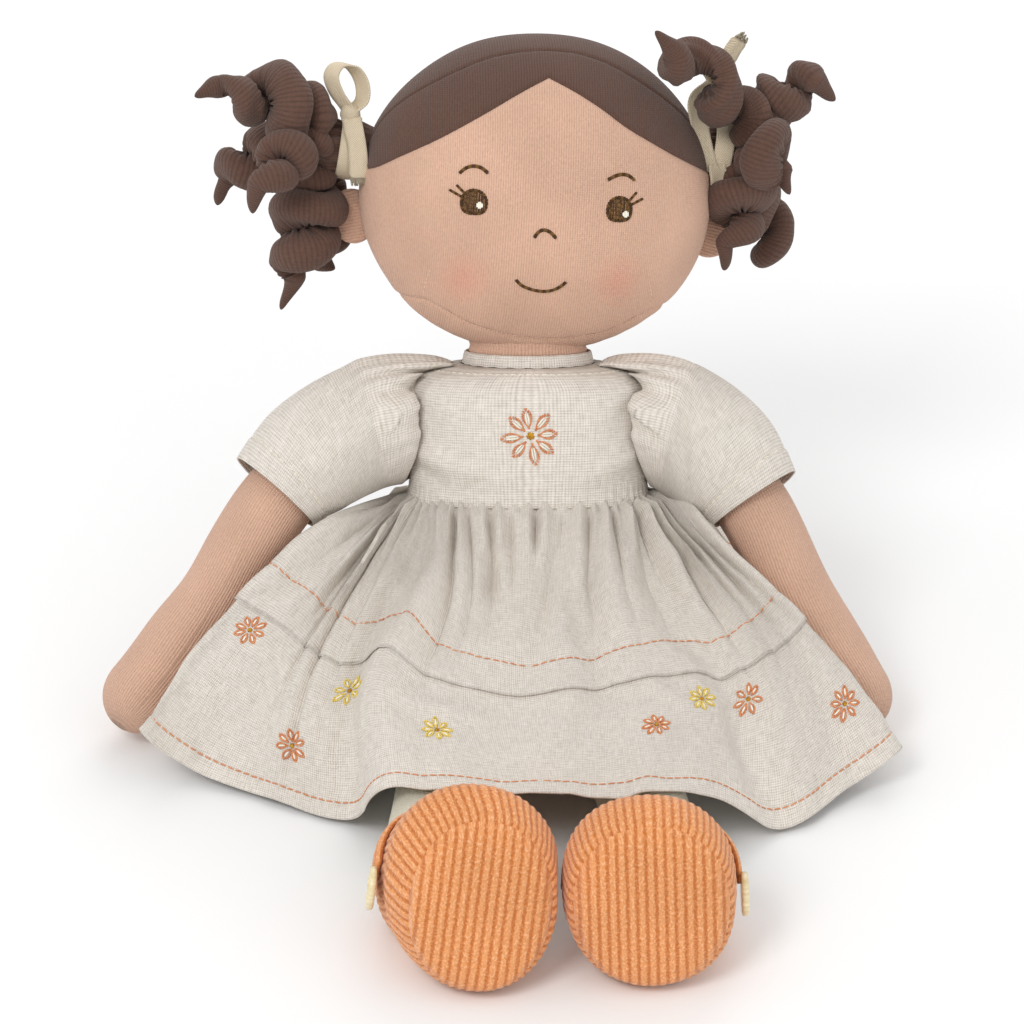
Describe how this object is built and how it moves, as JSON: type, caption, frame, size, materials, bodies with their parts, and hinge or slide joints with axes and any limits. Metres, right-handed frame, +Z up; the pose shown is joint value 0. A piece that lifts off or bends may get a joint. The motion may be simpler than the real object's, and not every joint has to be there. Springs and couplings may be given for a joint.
{
  "type": "rag doll",
  "caption": "Seated soft rag doll with stuffed curls in bunches, a puff-sleeved linen dress with a gathered skirt, rib-knit legs and corduroy bar shoes.",
  "frame": {"origin": "middle of the flat under the seat, on the surface that the doll sits on", "axes": "+Z up, the doll faces -Y, its own left is +X"},
  "size_m": [0.2644, 0.3243, 0.2192],
  "materials": {
    "jersey_skin": "fine cotton jersey, matt",
    "jersey_hair": "fine brown cotton jersey, matt",
    "stuffing": "polyester stuffing",
    "linen": "washed linen weave, matt",
    "twill_tape": "cotton twill tape, matt",
    "rib_tights": "fine rib knit, matt",
    "corduroy": "cotton corduroy with raised wales",
    "button": "satin"
  },
  "bodies": {
    "torso": {"torso_skin": "jersey_skin", "torso_filling": "stuffing", "dress_bodice": "linen", "dress_neckband": "linen", "back_button_top": "button", "back_button_bottom": "button", "right_sleeve": "linen", "left_sleeve": "linen", "skirt_back": "linen"},
    "neck": {"neck": "jersey_skin"},
    "head": {"head_filling": "stuffing", "hair_back_panel": "jersey_hair", "hair_front_panel": "jersey_hair", "face_panel": "jersey_skin", "chin_panel": "jersey_skin", "right_ear": "jersey_skin", "left_ear": "jersey_skin"},
    "right_bunch": {"right_bunch_root": "jersey_hair", "right_hair_tape": "twill_tape", "right_tape_bow": "twill_tape", "right_curl_1": "jersey_hair", "right_curl_2": "jersey_hair", "right_curl_3": "jersey_hair", "right_curl_4": "jersey_hair", "right_curl_5": "jersey_hair"},
    "right_arm": {"right_arm_skin": "jersey_skin", "right_arm_filling": "stuffing"},
    "right_leg": {"right_leg_skin": "rib_tights", "right_leg_filling": "stuffing", "right_shoe_upper": "corduroy", "right_shoe_sole": "corduroy", "right_foot_filling": "stuffing", "right_strap_base": "corduroy"},
    "right_strap": {"right_strap_tab": "corduroy", "right_shoe_button": "button"},
    "left_bunch": {"left_bunch_root": "jersey_hair", "left_hair_tape": "twill_tape", "left_tape_bow": "twill_tape", "left_curl_1": "jersey_hair", "left_curl_2": "jersey_hair", "left_curl_3": "jersey_hair", "left_curl_4": "jersey_hair", "left_curl_5": "jersey_hair"},
    "left_arm": {"left_arm_skin": "jersey_skin", "left_arm_filling": "stuffing"},
    "left_leg": {"left_leg_skin": "rib_tights", "left_leg_filling": "stuffing", "left_shoe_upper": "corduroy", "left_shoe_sole": "corduroy", "left_foot_filling": "stuffing", "left_strap_base": "corduroy"},
    "left_strap": {"left_strap_tab": "corduroy", "left_shoe_button": "button"},
    "skirt_front": {"skirt_front": "linen"}
  },
  "joints": [
    {"name": "neck_bend", "type": "hinge", "parent": "torso", "child": "neck", "pos_m": [0, 0.03831, 0.10525], "axis": [1, 0, 0], "range_deg": [-9, 8], "deforming": ["neck"]},
    {"name": "head_turn", "type": "hinge", "parent": "neck", "child": "head", "pos_m": [0, 0.03831, 0.10525], "axis": [0, 0.342, 0.9397], "range_deg": [-35, 35]},
    {"name": "right_bunch_swing", "type": "hinge", "parent": "head", "child": "right_bunch", "pos_m": [-0.05641, 0.06106, 0.16957], "axis": [-0.0897, 0.9366, -0.3388], "range_deg": [0, 20], "deforming": ["right_bunch_root"]},
    {"name": "left_bunch_swing", "type": "hinge", "parent": "head", "child": "left_bunch", "pos_m": [0.06195, 0.0699, 0.16358], "axis": [0.0897, -0.9366, 0.3388], "range_deg": [0, 12], "deforming": ["left_bunch_root"]},
    {"name": "right_arm_raise", "type": "hinge", "parent": "torso", "child": "right_arm", "pos_m": [-0.03413, 0.03147, 0.0901], "axis": [0, 1, 0], "range_deg": [0, 60], "deforming": ["right_sleeve"]},
    {"name": "left_arm_raise", "type": "hinge", "parent": "torso", "child": "left_arm", "pos_m": [0.03413, 0.03147, 0.0901], "axis": [0, -1, 0], "range_deg": [0, 60], "deforming": ["left_sleeve"]},
    {"name": "right_hip", "type": "hinge", "parent": "torso", "child": "right_leg", "pos_m": [-0.023, -0.01815, 0.0116], "axis": [1, 0, 0], "range_deg": [0, 60]},
    {"name": "left_hip", "type": "hinge", "parent": "torso", "child": "left_leg", "pos_m": [0.024, -0.01815, 0.0116], "axis": [1, 0, 0], "range_deg": [0, 60]},
    {"name": "skirt_lift", "type": "hinge", "parent": "torso", "child": "skirt_front", "pos_m": [0, -0.006, 0.06805], "axis": [1, 0, 0], "range_deg": [-40, 0], "deforming": ["skirt_front", "skirt_back"]},
    {"name": "right_strap_open", "type": "hinge", "parent": "right_leg", "child": "right_strap", "pos_m": [-0.01643, -0.14796, 0.03916], "axis": [-0.131, 0.3401, -0.9312], "range_deg": [0, 80]},
    {"name": "left_strap_open", "type": "hinge", "parent": "left_leg", "child": "left_strap", "pos_m": [0.03601, -0.14728, 0.03933], "axis": [-0.032, -0.4151, 0.9092], "range_deg": [0, 80]}
  ]
}
